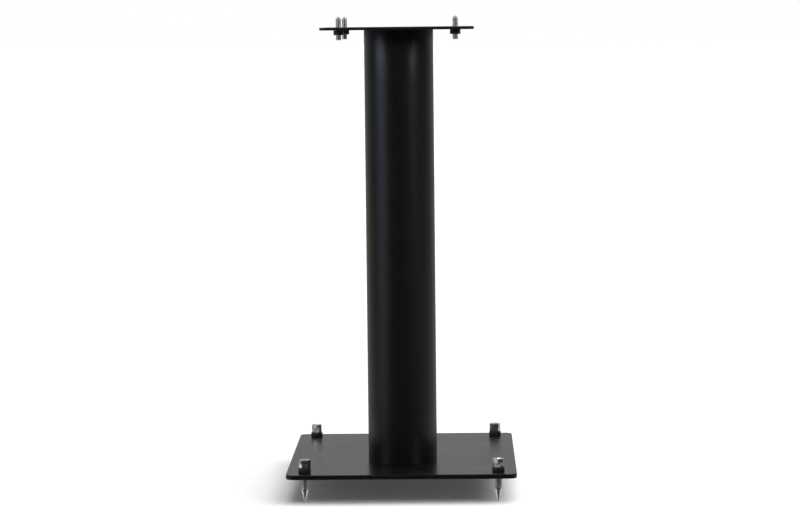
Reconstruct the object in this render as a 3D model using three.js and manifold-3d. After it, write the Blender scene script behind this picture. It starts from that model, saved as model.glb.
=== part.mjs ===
// A single-column stand for a bookshelf loudspeaker. Millimetres, +Z up.
// The origin lies on the floor under the middle of the base plate, and -Y is the front.

import * as THREE from 'three';
import { mergeVertices } from 'three/addons/utils/BufferGeometryUtils.js';
import Module from 'manifold-3d';

const wasm = await Module();
wasm.setup();

// ---------- Driving dimensions ----------

// Base plate: steel, on four spikes
const BASE_WIDTH = 250;
const BASE_DEPTH = 300;
const BASE_THICKNESS = 5;
const BASE_CORNER_RADIUS = 9;

// Top plate: steel, under the loudspeaker
const TOP_WIDTH = 165;
const TOP_DEPTH = 200;
const TOP_THICKNESS = 3;
const TOP_CORNER_RADIUS = 8;

// Column: one round tube, nearer to the front of the base than to its back
const COLUMN_DIAMETER = 76.1;
const COLUMN_WALL = 2;
const COLUMN_LENGTH = 478;
const COLUMN_FORWARD = 50;

// Discs welded inside the column's two ends, tapped for the screws that hold the plates
const DISC_THICKNESS = 8;
const SCREW_INSET = 11;
const SCREWS_PER_PLATE = 4;

// Floor spike: an M8 screw with a hexagon head and a long point
const SPIKE_INSET = 20;
const SPIKE_DIAMETER = 8;
const SPIKE_REACH = 28;
const SPIKE_POINT_LENGTH = 14;
const SPIKE_TIP_DIAMETER = 0.8;
const SPIKE_HEAD_FLATS = 11;
const SPIKE_HEAD_HEIGHT = 9;
const SPIKE_KEY_FLATS = 5;
const SPIKE_KEY_DEPTH = 4;

// Lock nut on each spike, on top of the base plate
const SPIKE_NUT_FLATS = 13;
const SPIKE_NUT_HEIGHT = 5;

// Speaker stud: an M6 cone-point set screw through the top plate
const STUD_INSET = 20;
const STUD_DIAMETER = 6;
const STUD_LENGTH = 25;
const STUD_REACH = 11.5;
const STUD_POINT_LENGTH = 2.4;
const STUD_TIP_DIAMETER = 1.5;
const STUD_KEY_FLATS = 3;
const STUD_KEY_DEPTH = 3.5;

// Lock nut on each stud, under the top plate
const STUD_NUT_FLATS = 10;
const STUD_NUT_HEIGHT = 5;

// Countersunk screws: M6 from under the base, M5 from above the top plate. Under each cone
// a land of the plate's thickness is left.
const BASE_SCREW = { diameter: 6, plate: BASE_THICKNESS, land: 1.5, keyFlats: 4, keyDepth: 2.4 };
const TOP_SCREW = { diameter: 5, plate: TOP_THICKNESS, land: 0.2, keyFlats: 3, keyDepth: 1.8 };

// Fits
const THREAD_CLEARANCE = 0.2;
const WELD_CLEARANCE = 0.3;
const SCREW_HOLE_CLEARANCE = 0.3;
const SCREW_HEAD_RECESS = 0.2;
const SCREW_END_INSET = 1;
const TURNING_GAP = 0.1;

// Finish of the edges, and how finely round shapes are divided
const PLATE_EDGE_BREAK = 0.5;
const TUBE_EDGE_BREAK = 0.4;
const HEX_CHAMFER_SLOPE = Math.tan(THREE.MathUtils.degToRad(30));
const SCREW_HEAD_RIM = 0.3;
const CUT_OVERRUN = 1;
const COLUMN_SEGMENTS = 72;
const THREAD_SEGMENTS = 24;
const CORNER_SEGMENTS = 8;
const EDGE_SEGMENTS = 1;

// The four corners, and the way each hexagon happens to face when everything is tight
const CORNERS = [
  { name: 'front_left', x: -1, y: -1, headTurn: 3, spikeNutTurn: 27, studNutTurn: 24 },
  { name: 'front_right', x: 1, y: -1, headTurn: 26, spikeNutTurn: 34, studNutTurn: 8 },
  { name: 'back_left', x: -1, y: 1, headTurn: 29, spikeNutTurn: 31, studNutTurn: 37 },
  { name: 'back_right', x: 1, y: 1, headTurn: 7, spikeNutTurn: 23, studNutTurn: 15 },
];

// ---------- Levels and places worked out from them ----------

const BASE_BOTTOM = SPIKE_REACH;
const BASE_TOP = BASE_BOTTOM + BASE_THICKNESS;
const TOP_BOTTOM = BASE_TOP + COLUMN_LENGTH;
const TOP_TOP = TOP_BOTTOM + TOP_THICKNESS;
const BORE_RADIUS = COLUMN_DIAMETER / 2 - COLUMN_WALL;
const DISC_RADIUS = BORE_RADIUS - WELD_CLEARANCE;
const SCREW_CIRCLE_RADIUS = BORE_RADIUS - SCREW_INSET;

// ---------- Finishes ----------

const satinBlack = { color: 0x0b0b0d, roughness: 0.45, metalness: 0.1 };
const brightPlating = { color: 0xc9c7c2, roughness: 0.16, metalness: 1 };
const plainSteel = { color: 0x77787a, roughness: 0.5, metalness: 1 };
const blackOxide = { color: 0x17171a, roughness: 0.4, metalness: 0.8 };

// ---------- Solids ----------

function toSolid(geometry) {
  const bare = geometry.clone();
  bare.deleteAttribute('normal');
  bare.deleteAttribute('uv');
  const merged = mergeVertices(bare, 1e-4);
  const vertProperties = new Float32Array(merged.attributes.position.array);
  const triVerts = new Uint32Array(merged.index.array);
  return new wasm.Manifold(new wasm.Mesh({ numProp: 3, vertProperties, triVerts }));
}

function toGeometry(solid) {
  const mesh = solid.getMesh();
  const geometry = new THREE.BufferGeometry();
  geometry.setAttribute('position', new THREE.BufferAttribute(mesh.vertProperties, 3));
  geometry.setIndex(new THREE.BufferAttribute(mesh.triVerts, 1));
  geometry.computeVertexNormals();
  return geometry;
}

// A solid of revolution about Z from [radius, z] points, listed upwards along the outside.
function turned(profile, segments) {
  const points = profile.map(([radius, z]) => new THREE.Vector2(radius, z));
  return new THREE.LatheGeometry(points, segments).rotateX(Math.PI / 2);
}

// A plain round bar about Z, from one level up to another.
function roundBar(radius, bottom, top, segments = THREAD_SEGMENTS) {
  return turned([[0, bottom], [radius, bottom], [radius, top], [0, top]], segments);
}

// A hexagonal bar about Z, with corners on the X axis.
function hexBar(acrossFlats, bottom, top) {
  const shape = new THREE.Shape();
  const cornerRadius = acrossFlats / Math.sqrt(3);
  for (let i = 0; i < 6; i += 1) {
    const angle = (i * Math.PI) / 3;
    const x = cornerRadius * Math.cos(angle);
    const y = cornerRadius * Math.sin(angle);
    if (i === 0) shape.moveTo(x, y);
    else shape.lineTo(x, y);
  }
  const bar = new THREE.ExtrudeGeometry(shape, { depth: top - bottom, bevelEnabled: false });
  return bar.translate(0, 0, bottom);
}

// A hexagonal bar whose corners are turned off at 30 degrees, at both ends or only at the top.
function chamferedHex(acrossFlats, bottom, top, bothEnds) {
  const flat = acrossFlats / 2;
  const corner = acrossFlats / Math.sqrt(3) + THREAD_CLEARANCE;
  const drop = (corner - flat) * HEX_CHAMFER_SLOPE;
  const lower = bothEnds ? [[flat, bottom], [corner, bottom + drop]] : [[corner, bottom]];
  const envelope = turned(
    [[0, bottom], ...lower, [corner, top - drop], [flat, top], [0, top]],
    THREAD_SEGMENTS,
  );
  return toSolid(hexBar(acrossFlats, bottom, top)).intersect(toSolid(envelope));
}

// A flat plate with rounded corners and broken edges, its lower face at the given level.
function plateBlank(width, depth, thickness, cornerRadius, bottom) {
  const w = width / 2 - PLATE_EDGE_BREAK;
  const d = depth / 2 - PLATE_EDGE_BREAK;
  const r = cornerRadius - PLATE_EDGE_BREAK;
  const shape = new THREE.Shape();
  shape.moveTo(-w + r, -d);
  shape.lineTo(w - r, -d);
  shape.absarc(w - r, -d + r, r, -Math.PI / 2, 0, false);
  shape.lineTo(w, d - r);
  shape.absarc(w - r, d - r, r, 0, Math.PI / 2, false);
  shape.lineTo(-w + r, d);
  shape.absarc(-w + r, d - r, r, Math.PI / 2, Math.PI, false);
  shape.lineTo(-w, -d + r);
  shape.absarc(-w + r, -d + r, r, Math.PI, 1.5 * Math.PI, false);
  const blank = new THREE.ExtrudeGeometry(shape, {
    depth: thickness - 2 * PLATE_EDGE_BREAK,
    bevelSize: PLATE_EDGE_BREAK,
    bevelThickness: PLATE_EDGE_BREAK,
    bevelSegments: EDGE_SEGMENTS,
    curveSegments: CORNER_SEGMENTS,
  });
  return toSolid(blank.translate(0, 0, bottom + PLATE_EDGE_BREAK));
}

// ---------- Where repeated pieces stand ----------

function spikePlace(corner) {
  const x = corner.x * (BASE_WIDTH / 2 - SPIKE_INSET);
  const y = corner.y * (BASE_DEPTH / 2 - SPIKE_INSET);
  return { x, y };
}

function studPlace(corner) {
  const x = corner.x * (TOP_WIDTH / 2 - STUD_INSET);
  const y = corner.y * (TOP_DEPTH / 2 - STUD_INSET);
  return { x, y };
}

function screwPlace(index) {
  const angle = ((index + 0.5) * 2 * Math.PI) / SCREWS_PER_PLATE;
  const x = SCREW_CIRCLE_RADIUS * Math.cos(angle);
  const y = SCREW_CIRCLE_RADIUS * Math.sin(angle);
  return { x, y };
}

const screwPlaces = Array.from({ length: SCREWS_PER_PLATE }, (_, index) => screwPlace(index));

// ---------- Plates, column and end discs ----------

// The height of a screw's 90 degree cone, which is also how far its head stands out all round.
function coneHeight(screw) {
  return screw.plate - SCREW_HEAD_RECESS - SCREW_HEAD_RIM - screw.land;
}

// The hole that a countersunk screw needs in its plate, whose outer face is at z = 0, head up.
function countersink(screw) {
  const neck = screw.diameter / 2 + SCREW_HOLE_CLEARANCE;
  const mouth = neck + coneHeight(screw);
  const rim = SCREW_HEAD_RECESS + SCREW_HEAD_RIM;
  const profile = [
    [0, -screw.plate - CUT_OVERRUN],
    [neck, -screw.plate - CUT_OVERRUN],
    [neck, -rim - coneHeight(screw)],
    [mouth, -rim],
    [mouth, CUT_OVERRUN],
    [0, CUT_OVERRUN],
  ];
  return toSolid(turned(profile, THREAD_SEGMENTS));
}

function basePlate() {
  let plate = plateBlank(BASE_WIDTH, BASE_DEPTH, BASE_THICKNESS, BASE_CORNER_RADIUS, 0);
  const holeRadius = SPIKE_DIAMETER / 2 + THREAD_CLEARANCE;
  const hole = toSolid(roundBar(holeRadius, -CUT_OVERRUN, BASE_THICKNESS + CUT_OVERRUN));
  for (const corner of CORNERS) {
    const { x, y } = spikePlace(corner);
    plate = plate.subtract(hole.translate([x, y, 0]));
  }
  const sink = countersink(BASE_SCREW).rotate([180, 0, 0]);
  for (const { x, y } of screwPlaces) {
    plate = plate.subtract(sink.translate([x, y - COLUMN_FORWARD, 0]));
  }
  return toGeometry(plate);
}

// The top plate is drawn about the column's axis.
function topPlate() {
  let plate = plateBlank(TOP_WIDTH, TOP_DEPTH, TOP_THICKNESS, TOP_CORNER_RADIUS, 0);
  const holeRadius = STUD_DIAMETER / 2 + THREAD_CLEARANCE;
  const hole = toSolid(roundBar(holeRadius, -CUT_OVERRUN, TOP_THICKNESS + CUT_OVERRUN));
  for (const corner of CORNERS) {
    const { x, y } = studPlace(corner);
    plate = plate.subtract(hole.translate([x, y, 0]));
  }
  const sink = countersink(TOP_SCREW);
  for (const { x, y } of screwPlaces) {
    plate = plate.subtract(sink.translate([x, y, TOP_THICKNESS]));
  }
  return toGeometry(plate);
}

function columnTube() {
  const outer = COLUMN_DIAMETER / 2;
  const bevel = TUBE_EDGE_BREAK;
  const profile = [
    [BORE_RADIUS, 0],
    [outer - bevel, 0],
    [outer, bevel],
    [outer, COLUMN_LENGTH - bevel],
    [outer - bevel, COLUMN_LENGTH],
    [BORE_RADIUS, COLUMN_LENGTH],
    [BORE_RADIUS, 0],
  ];
  return turned(profile, COLUMN_SEGMENTS);
}

function endDisc(screw) {
  let disc = toSolid(roundBar(DISC_RADIUS, 0, DISC_THICKNESS, COLUMN_SEGMENTS));
  const tapped = screw.diameter / 2 + THREAD_CLEARANCE;
  const hole = toSolid(roundBar(tapped, -CUT_OVERRUN, DISC_THICKNESS + CUT_OVERRUN));
  for (const { x, y } of screwPlaces) {
    disc = disc.subtract(hole.translate([x, y, 0]));
  }
  return toGeometry(disc);
}

// ---------- Fasteners ----------

// A countersunk screw, head up, with its plate's outer face at z = 0.
function plateScrew(screw) {
  const shank = screw.diameter / 2;
  const rim = shank + coneHeight(screw);
  const face = -SCREW_HEAD_RECESS;
  const end = -(screw.plate + DISC_THICKNESS - SCREW_END_INSET);
  const profile = [
    [0, end],
    [shank, end],
    [shank, face - SCREW_HEAD_RIM - coneHeight(screw)],
    [rim, face - SCREW_HEAD_RIM],
    [rim, face],
    [0, face],
  ];
  const body = toSolid(turned(profile, THREAD_SEGMENTS));
  const key = toSolid(hexBar(screw.keyFlats, face - screw.keyDepth, face + CUT_OVERRUN));
  return toGeometry(body.subtract(key));
}

// The spike, with its tip at z = 0 and its head above the lock nut.
function floorSpike() {
  const headBottom = SPIKE_REACH + BASE_THICKNESS + SPIKE_NUT_HEIGHT + 2 * TURNING_GAP;
  const headTop = headBottom + SPIKE_HEAD_HEIGHT;
  const shank = SPIKE_DIAMETER / 2;
  const profile = [
    [0, 0],
    [SPIKE_TIP_DIAMETER / 2, 0],
    [shank, SPIKE_POINT_LENGTH],
    [shank, headBottom + CUT_OVERRUN],
    [0, headBottom + CUT_OVERRUN],
  ];
  const head = chamferedHex(SPIKE_HEAD_FLATS, headBottom, headTop, false);
  const key = hexBar(SPIKE_KEY_FLATS, headTop - SPIKE_KEY_DEPTH, headTop + CUT_OVERRUN);
  const body = toSolid(turned(profile, THREAD_SEGMENTS)).add(head).subtract(toSolid(key));
  return toGeometry(body);
}

// The stud, with its lower end at z = 0 and its cone point up.
function speakerStud() {
  const shank = STUD_DIAMETER / 2;
  const profile = [
    [0, 0],
    [shank, 0],
    [shank, STUD_LENGTH - STUD_POINT_LENGTH],
    [STUD_TIP_DIAMETER / 2, STUD_LENGTH],
    [0, STUD_LENGTH],
  ];
  const key = hexBar(STUD_KEY_FLATS, -CUT_OVERRUN, STUD_KEY_DEPTH);
  return toGeometry(toSolid(turned(profile, THREAD_SEGMENTS)).subtract(toSolid(key)));
}

// A hexagon nut standing on z = 0.
function lockNut(acrossFlats, height, threadDiameter) {
  const bore = roundBar(threadDiameter / 2 + THREAD_CLEARANCE, -CUT_OVERRUN, height + CUT_OVERRUN);
  return toGeometry(chamferedHex(acrossFlats, 0, height, true).subtract(toSolid(bore)));
}

// ---------- Assembly ----------

function piece(name, geometry, finish) {
  const mesh = new THREE.Mesh(geometry, new THREE.MeshStandardMaterial(finish));
  mesh.name = name;
  return mesh;
}

function at(object, x, y, z) {
  object.position.set(x, y, z);
  return object;
}

function faced(object, degrees) {
  object.rotation.z = THREE.MathUtils.degToRad(degrees);
  return object;
}

const stand = new THREE.Group();

// The column group's origin is the column's axis at the top face of the base plate.
const column = at(new THREE.Group(), 0, -COLUMN_FORWARD, BASE_TOP);
const head = at(new THREE.Group(), 0, 0, COLUMN_LENGTH);
column.add(piece('column_tube', columnTube(), satinBlack));
column.add(piece('lower_end_disc', endDisc(BASE_SCREW), plainSteel));
const upperDisc = piece('upper_end_disc', endDisc(TOP_SCREW), plainSteel);
column.add(at(upperDisc, 0, 0, COLUMN_LENGTH - DISC_THICKNESS));
column.add(head);

stand.add(at(piece('base_plate', basePlate(), satinBlack), 0, 0, BASE_BOTTOM));
stand.add(column);
head.add(piece('top_plate', topPlate(), satinBlack));

screwPlaces.forEach(({ x, y }, index) => {
  const baseScrew = piece(`base_screw_${index + 1}`, plateScrew(BASE_SCREW), blackOxide);
  baseScrew.rotation.x = Math.PI;
  column.add(at(baseScrew, x, y, -BASE_THICKNESS));
  const topScrew = piece(`top_screw_${index + 1}`, plateScrew(TOP_SCREW), blackOxide);
  head.add(at(topScrew, x, y, TOP_THICKNESS));
});

for (const corner of CORNERS) {
  const spikeAt = spikePlace(corner);
  const foot = at(new THREE.Group(), spikeAt.x, spikeAt.y, 0);
  const spike = piece(`floor_spike_${corner.name}`, floorSpike(), brightPlating);
  const spikeNutShape = lockNut(SPIKE_NUT_FLATS, SPIKE_NUT_HEIGHT, SPIKE_DIAMETER);
  const spikeNut = piece(`spike_lock_nut_${corner.name}`, spikeNutShape, blackOxide);
  foot.add(faced(spike, corner.headTurn));
  foot.add(faced(at(spikeNut, 0, 0, BASE_TOP + TURNING_GAP), corner.spikeNutTurn));
  stand.add(foot);

  const studAt = studPlace(corner);
  const seat = at(new THREE.Group(), studAt.x, studAt.y, TOP_THICKNESS);
  const stud = piece(`speaker_stud_${corner.name}`, speakerStud(), brightPlating);
  const studNutShape = lockNut(STUD_NUT_FLATS, STUD_NUT_HEIGHT, STUD_DIAMETER);
  const studNut = piece(`stud_lock_nut_${corner.name}`, studNutShape, blackOxide);
  const studNutBottom = -(TOP_THICKNESS + TURNING_GAP + STUD_NUT_HEIGHT);
  seat.add(faced(at(stud, 0, 0, STUD_REACH - STUD_LENGTH), corner.headTurn));
  seat.add(faced(at(studNut, 0, 0, studNutBottom), corner.studNutTurn));
  head.add(seat);
}

export default stand;
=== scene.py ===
"""The looks of a single-column stand for a bookshelf loudspeaker.

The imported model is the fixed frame: every size and place here is measured on it. Each sub-assembly is a
class that builds its meshes in metres, dresses them and hangs them on the frame's moving bodies.
"""

import logging
import math
from collections.abc import Iterable, Sequence
from dataclasses import dataclass, field
from enum import Enum
from functools import cached_property
from typing import ClassVar

import bmesh
import bpy
from mathutils import Matrix, Vector


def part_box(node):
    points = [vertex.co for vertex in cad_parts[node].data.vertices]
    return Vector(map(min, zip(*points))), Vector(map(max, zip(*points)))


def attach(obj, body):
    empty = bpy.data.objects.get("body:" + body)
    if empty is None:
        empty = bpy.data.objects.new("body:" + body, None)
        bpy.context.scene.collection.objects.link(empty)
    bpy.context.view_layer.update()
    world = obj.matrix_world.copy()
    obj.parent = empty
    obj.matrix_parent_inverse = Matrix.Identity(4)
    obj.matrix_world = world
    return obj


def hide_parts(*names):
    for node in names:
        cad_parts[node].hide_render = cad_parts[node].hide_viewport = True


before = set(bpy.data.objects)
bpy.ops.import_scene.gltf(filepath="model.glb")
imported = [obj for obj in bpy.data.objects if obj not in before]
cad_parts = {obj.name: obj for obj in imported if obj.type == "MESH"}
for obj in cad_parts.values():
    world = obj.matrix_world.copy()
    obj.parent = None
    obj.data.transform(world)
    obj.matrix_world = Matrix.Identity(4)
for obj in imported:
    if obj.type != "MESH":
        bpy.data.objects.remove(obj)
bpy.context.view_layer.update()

LOG = logging.getLogger("speaker_stand")
MM = 0.001
HAIR = 0.05 * MM
THREAD_ROWS = 8
HALF_HEX_ANGLE = math.pi / 6

Band = tuple[float, float]
Colour = tuple[float, float, float]
Profile = Sequence[tuple[float, float]]


class Corner(Enum):
    """The four corners of the stand, as its pieces are named."""

    FRONT_LEFT = "front_left"
    FRONT_RIGHT = "front_right"
    BACK_LEFT = "back_left"
    BACK_RIGHT = "back_right"


class Slot(Enum):
    """Names of the material slots, which settle takes but does not use."""

    SATIN_BLACK = "satin_black"
    BLACK_OXIDE = "black_oxide"
    BRIGHT_PLATING = "bright_plating"


class Joining(Enum):
    """How one shape is combined with another."""

    UNION = "UNION"
    DIFFERENCE = "DIFFERENCE"
    INTERSECT = "INTERSECT"


class TreeKind(Enum):
    """What a node group is for."""

    SHADER = "ShaderNodeTree"
    GEOMETRY = "GeometryNodeTree"


class Kind(Enum):
    """What a node group's socket carries."""

    NUMBER = "NodeSocketFloat"
    WHOLE = "NodeSocketInt"
    SWITCH = "NodeSocketBool"
    VECTOR = "NodeSocketVector"
    SHAPE = "NodeSocketGeometry"
    MATERIAL = "NodeSocketMaterial"


# ---------------------------------------------------------------------------------------------------------
# Measuring the frame
# ---------------------------------------------------------------------------------------------------------


@dataclass(frozen=True)
class Measured:
    """A CAD node's box, with the sizes that the pieces are built from."""

    node: str

    @cached_property
    def low(self) -> Vector:
        """The lowest corner."""
        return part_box(self.node)[0]

    @cached_property
    def high(self) -> Vector:
        """The highest corner."""
        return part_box(self.node)[1]

    @property
    def middle(self) -> Vector:
        """The middle of the box."""
        return (self.low + self.high) / 2

    @property
    def size(self) -> Vector:
        """The lengths of the box's sides."""
        return self.high - self.low

    def points(self) -> list[Vector]:
        """The node's vertices."""
        return [v.co.copy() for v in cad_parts[self.node].data.vertices]

    def radii(self, axis: Vector, low: float = 0.0, high: float = 1.0) -> list[float]:
        """Distances of the vertices from an upright axis.

        Args:
            axis: A point on the axis.
            low: The lowest level to look at, as a share of the height.
            high: The highest level to look at, as a share of the height.

        Returns:
            The distances, in metres.
        """
        bottom, tall, slack = self.low.z, self.size.z, 1e-6
        inside = (p for p in self.points() if low - slack <= (p.z - bottom) / tall <= high + slack)
        return [math.hypot(p.x - axis.x, p.y - axis.y) for p in inside]

    def turn(self, axis: Vector, limit: float = math.inf) -> float:
        """The direction from an upright axis of the furthest vertex that is within a limit.

        Args:
            axis: A point on the axis.
            limit: The distance past which vertices are left out, in metres.

        Returns:
            The direction, in radians.
        """
        offsets = [(p - axis).xy for p in self.points()]
        far = max((o for o in offsets if o.length < limit), key=lambda o: o.length)
        return math.atan2(far.y, far.x)


# ---------------------------------------------------------------------------------------------------------
# Node trees
# ---------------------------------------------------------------------------------------------------------


class Wiring:
    """Adds nodes to a tree and links them, for shaders and Geometry Nodes alike."""

    def __init__(self, tree: bpy.types.NodeTree) -> None:
        """Keep the tree that the nodes go into."""
        self.tree = tree

    def node(self, kind: str, **settings: object) -> bpy.types.Node:
        """Add one node and set its properties.

        Args:
            kind: The node's type.
            settings: Its properties by name.

        Returns:
            The node.
        """
        made = self.tree.nodes.new(kind)
        for name, value in settings.items():
            setattr(made, name, value)
        return made

    def feed(self, socket: bpy.types.NodeSocket, value: object) -> None:
        """Link a socket to another, or set its own value.

        Args:
            socket: The input to feed.
            value: Another node's output, or a plain value.
        """
        if isinstance(value, bpy.types.NodeSocket):
            self.tree.links.new(value, socket)
        else:
            socket.default_value = value

    def math(self, operation: str, *values: object, clamp: bool = False) -> bpy.types.NodeSocket:
        """Add a Math node.

        Args:
            operation: The node's operation.
            values: Numbers or sockets for its inputs, in order.
            clamp: Whether the result is kept from 0 to 1.

        Returns:
            The result's socket.
        """
        made = self.node("ShaderNodeMath", operation=operation, use_clamp=clamp)
        for socket, value in zip(made.inputs, values):
            self.feed(socket, value)
        return made.outputs[0]

    def blend(self, share: object, first: object, second: object) -> bpy.types.NodeSocket:
        """Mix two numbers.

        Args:
            share: The second number's share, from 0 to 1.
            first: The result at 0.
            second: The result at 1.

        Returns:
            The result's socket.
        """
        made = self.node("ShaderNodeMix", data_type="FLOAT")
        for socket, value in zip((made.inputs[0], made.inputs[2], made.inputs[3]), (share, first, second)):
            self.feed(socket, value)
        return made.outputs[0]

    def tint(self, share: object, first: object, second: object) -> bpy.types.NodeSocket:
        """Mix two colours.

        Args:
            share: The second colour's share, from 0 to 1.
            first: The result at 0.
            second: The result at 1.

        Returns:
            The result's socket.
        """
        made = self.node("ShaderNodeMix", data_type="RGBA")
        for socket, value in zip((made.inputs[0], made.inputs[6], made.inputs[7]), (share, first, second)):
            if isinstance(value, tuple):
                value = (*value, 1.0)
            self.feed(socket, value)
        return made.outputs[2]

    def span(self, value: object, low: object, high: object) -> bpy.types.NodeSocket:
        """A smooth step.

        Args:
            value: The value that the step follows.
            low: Where the step is 0.
            high: Where the step is 1.

        Returns:
            The result's socket.
        """
        made = self.node("ShaderNodeMapRange", interpolation_type="SMOOTHSTEP")
        for name, given in (("Value", value), ("From Min", low), ("From Max", high)):
            self.feed(made.inputs[name], given)
        return made.outputs[0]

    def noise(
        self, vector: object, scale: object, detail: float, rough: float = 0.5
    ) -> bpy.types.NodeSocket:
        """A noise texture's value.

        Args:
            vector: The coordinates that it reads.
            scale: Its scale.
            detail: The number of finer layers.
            rough: The strength of each finer layer.

        Returns:
            The value's socket.
        """
        made = self.node("ShaderNodeTexNoise", noise_dimensions="3D")
        values = {"Vector": vector, "Scale": scale, "Detail": detail, "Roughness": rough}
        for name, given in values.items():
            self.feed(made.inputs[name], given)
        return made.outputs["Fac"]

    def split(self, vector: bpy.types.NodeSocket) -> tuple[bpy.types.NodeSocket, ...]:
        """The three parts of a vector.

        Args:
            vector: The vector's socket.

        Returns:
            The sockets of x, y and z.
        """
        made = self.node("ShaderNodeSeparateXYZ")
        self.feed(made.inputs[0], vector)
        return tuple(made.outputs)

    def join(self, x: object, y: object, z: object) -> bpy.types.NodeSocket:
        """A vector from its three parts.

        Args:
            x: The first part.
            y: The second part.
            z: The third part.

        Returns:
            The vector's socket.
        """
        made = self.node("ShaderNodeCombineXYZ")
        for socket, value in zip(made.inputs, (x, y, z)):
            self.feed(socket, value)
        return made.outputs[0]


@dataclass(frozen=True)
class Port:
    """One named socket of a node group."""

    name: str
    default: object = None
    kind: Kind = Kind.NUMBER


COORDINATES = Port("Vector", kind=Kind.VECTOR)
COAT = Port("Material", kind=Kind.MATERIAL)


def new_group(
    name: str, kind: TreeKind, inputs: Iterable[Port], outputs: Iterable[Port]
) -> tuple[bpy.types.NodeTree, Wiring, bpy.types.NodeOutputs, bpy.types.NodeInputs]:
    """Start a node group with named sockets.

    Args:
        name: The group's name.
        kind: What the group is for.
        inputs: The sockets that it takes.
        outputs: The sockets that it gives.

    Returns:
        The group, its wiring, its input node's outputs by name, and its output node's inputs by name.
    """
    tree = bpy.data.node_groups.new(name, kind.value)
    for direction, ports in (("INPUT", inputs), ("OUTPUT", outputs)):
        for port in ports:
            socket = tree.interface.new_socket(port.name, in_out=direction, socket_type=port.kind.value)
            if port.default is not None:
                socket.default_value = port.default
    wiring = Wiring(tree)
    given = wiring.node("NodeGroupInput").outputs
    result = wiring.node("NodeGroupOutput").inputs
    return tree, wiring, given, result


# ---------------------------------------------------------------------------------------------------------
# Effects that several finishes share
# ---------------------------------------------------------------------------------------------------------


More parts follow.
